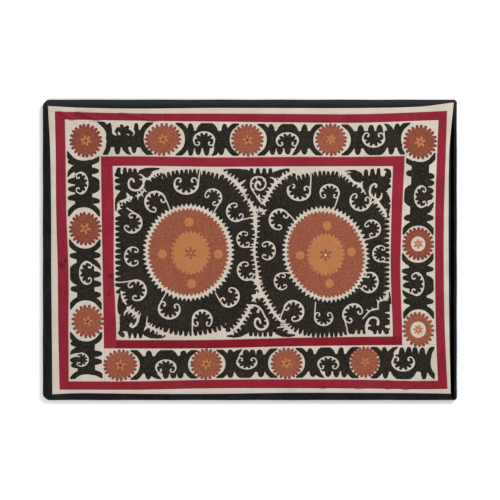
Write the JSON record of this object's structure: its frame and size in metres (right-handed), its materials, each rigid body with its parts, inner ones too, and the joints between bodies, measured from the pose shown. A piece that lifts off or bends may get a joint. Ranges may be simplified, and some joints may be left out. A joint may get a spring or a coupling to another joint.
{
  "type": "suzani embroidered textile on a cloth-covered mounting board",
  "caption": "Flat embroidered wall textile with round medallions, a rosette border and red bands, fixed face up on a black cloth-covered board.",
  "frame": {"origin": "centre of the back face of the mounting board", "axes": "+X along the cloth to the picture's right, +Y across it to the picture's top, +Z out of the embroidered face"},
  "size_m": [2.073, 1.505, 0.0232],
  "materials": {
    "board_cover": "plain-woven black cotton pulled over the board, matt",
    "cream_cotton": "hand-loomed undyed cotton, matt, a little slubby",
    "inner_red_cotton": "madder-red cotton strip, matt, faded in patches",
    "outer_red_cotton": "madder-red cotton strip, matt, faded in patches",
    "black_silk": "brownish-black silk thread in close couched rows, soft sheen",
    "rust_silk": "rust silk thread in close couched rows, soft sheen",
    "orange_silk": "orange silk thread in close couched rows, soft sheen"
  },
  "bodies": {
    "root": {"mounting_board": "board_cover", "field_panel": "cream_cotton", "inner_red_north": "inner_red_cotton", "inner_red_west": "inner_red_cotton", "inner_red_south": "inner_red_cotton", "inner_red_east": "inner_red_cotton", "border_ground_north": "cream_cotton", "border_ground_west": "cream_cotton", "border_ground_south": "cream_cotton", "border_ground_east": "cream_cotton", "outer_red_north": "outer_red_cotton", "outer_red_west": "outer_red_cotton", "outer_red_south": "outer_red_cotton", "outer_red_east": "outer_red_cotton", "edging_north": "cream_cotton", "edging_west": "cream_cotton", "edging_south": "cream_cotton", "edging_east": "cream_cotton", "disc_left": "rust_silk", "flower_left": "orange_silk", "ring_left": "black_silk", "disc_right": "rust_silk", "flower_right": "orange_silk", "ring_right": "black_silk", "spray_north_west": "black_silk", "spray_north_middle": "black_silk", "spray_north_east": "black_silk", "spray_south_west": "black_silk", "spray_south_middle": "black_silk", "spray_south_east": "black_silk", "rosette_north_1": "rust_silk", "rosette_north_2": "rust_silk", "rosette_north_3": "rust_silk", "rosette_north_4": "rust_silk", "rosette_north_5": "rust_silk", "link_north_1": "black_silk", "link_north_2": "black_silk", "link_north_3": "black_silk", "link_north_4": "black_silk", "rosette_west_1": "rust_silk", "rosette_west_2": "rust_silk", "link_west_1": "black_silk", "link_west_2": "black_silk", "link_west_3": "black_silk", "rosette_south_1": "rust_silk", "rosette_south_2": "rust_silk", "rosette_south_3": "rust_silk", "rosette_south_4": "rust_silk", "link_south_1": "black_silk", "link_south_2": "black_silk", "link_south_3": "black_silk", "link_south_4": "black_silk", "rosette_east_1": "rust_silk", "rosette_east_2": "rust_silk", "link_east_1": "black_silk", "link_east_2": "black_silk"}
  },
  "joints": []
}
